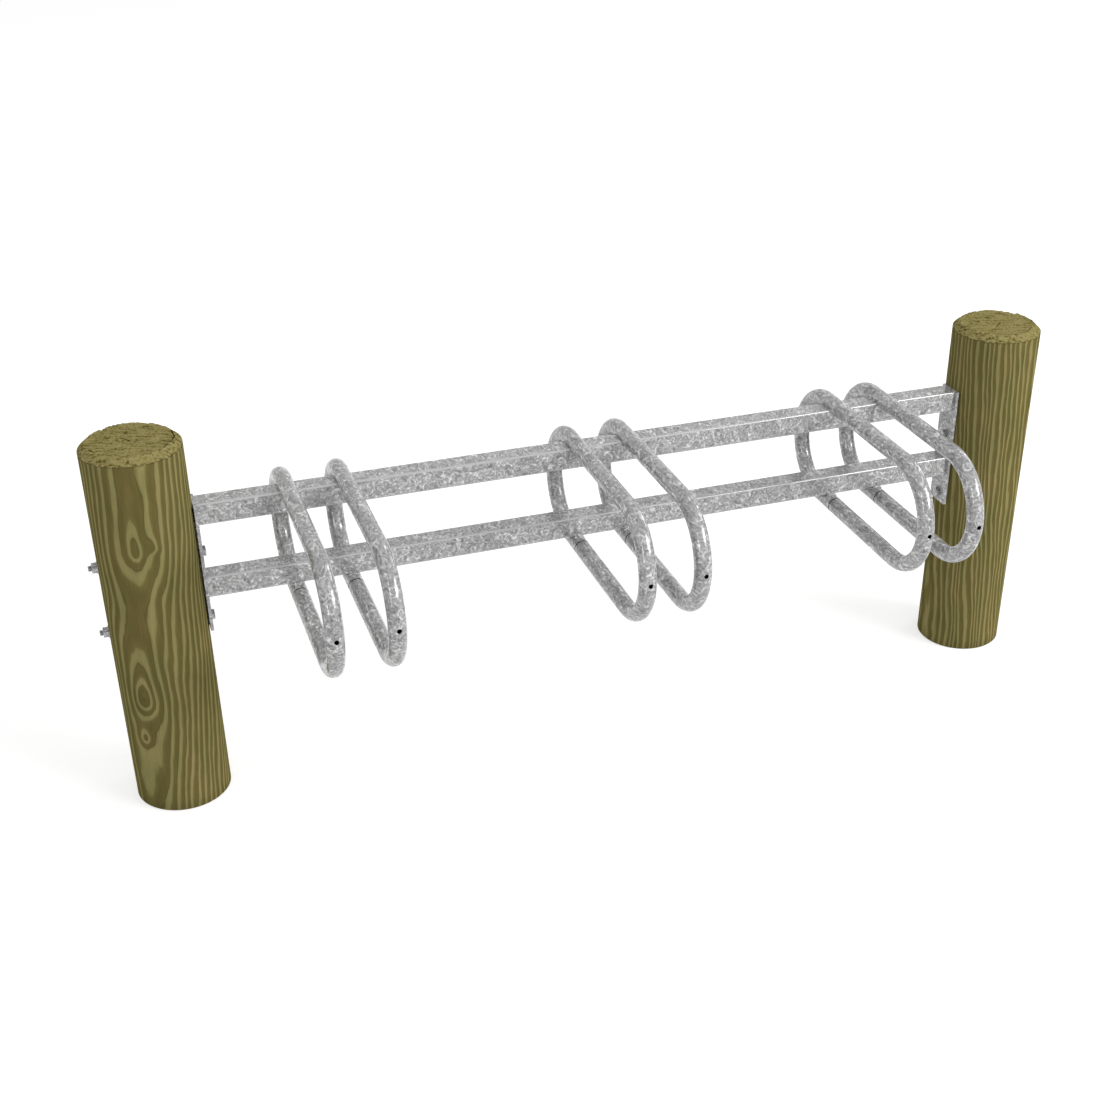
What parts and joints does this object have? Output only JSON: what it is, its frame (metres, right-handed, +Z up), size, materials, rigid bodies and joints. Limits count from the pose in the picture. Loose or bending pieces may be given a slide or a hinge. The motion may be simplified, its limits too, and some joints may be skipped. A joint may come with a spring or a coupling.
{
  "type": "two tier bike rack",
  "caption": "Bike rack with round timber end posts and a galvanised steel frame of stacked square rails that carry paired bent-tube wheel hoops.",
  "frame": {"origin": "on the ground, under the middle of the rack's overall box", "axes": "+X along the rails, to the right as seen by someone who faces the hoops; -Y the way the hoops reach, so a bicycle is pushed in along +Y; +Z up"},
  "size_m": [1.7494, 0.495, 0.66],
  "materials": {
    "timber": "pressure-treated round softwood, olive green, matt",
    "galvanised_steel": "hot-dip galvanised, spangled",
    "plated_fixings": "zinc plated"
  },
  "bodies": {
    "root": {"left_post": "timber", "right_post": "timber", "upper_rail": "galvanised_steel", "lower_rail": "galvanised_steel", "left_end_plate": "galvanised_steel", "right_end_plate": "galvanised_steel", "left_pair_left_hoop": "galvanised_steel", "left_pair_right_hoop": "galvanised_steel", "middle_pair_left_hoop": "galvanised_steel", "middle_pair_right_hoop": "galvanised_steel", "right_pair_left_hoop": "galvanised_steel", "right_pair_right_hoop": "galvanised_steel", "left_upper_bolt": "plated_fixings", "left_lower_bolt": "plated_fixings", "right_upper_bolt": "plated_fixings", "right_lower_bolt": "plated_fixings", "left_upper_washer": "plated_fixings", "left_lower_washer": "plated_fixings", "right_upper_washer": "plated_fixings", "right_lower_washer": "plated_fixings", "left_upper_nut": "plated_fixings", "left_lower_nut": "plated_fixings", "right_upper_nut": "plated_fixings", "right_lower_nut": "plated_fixings"}
  },
  "joints": []
}
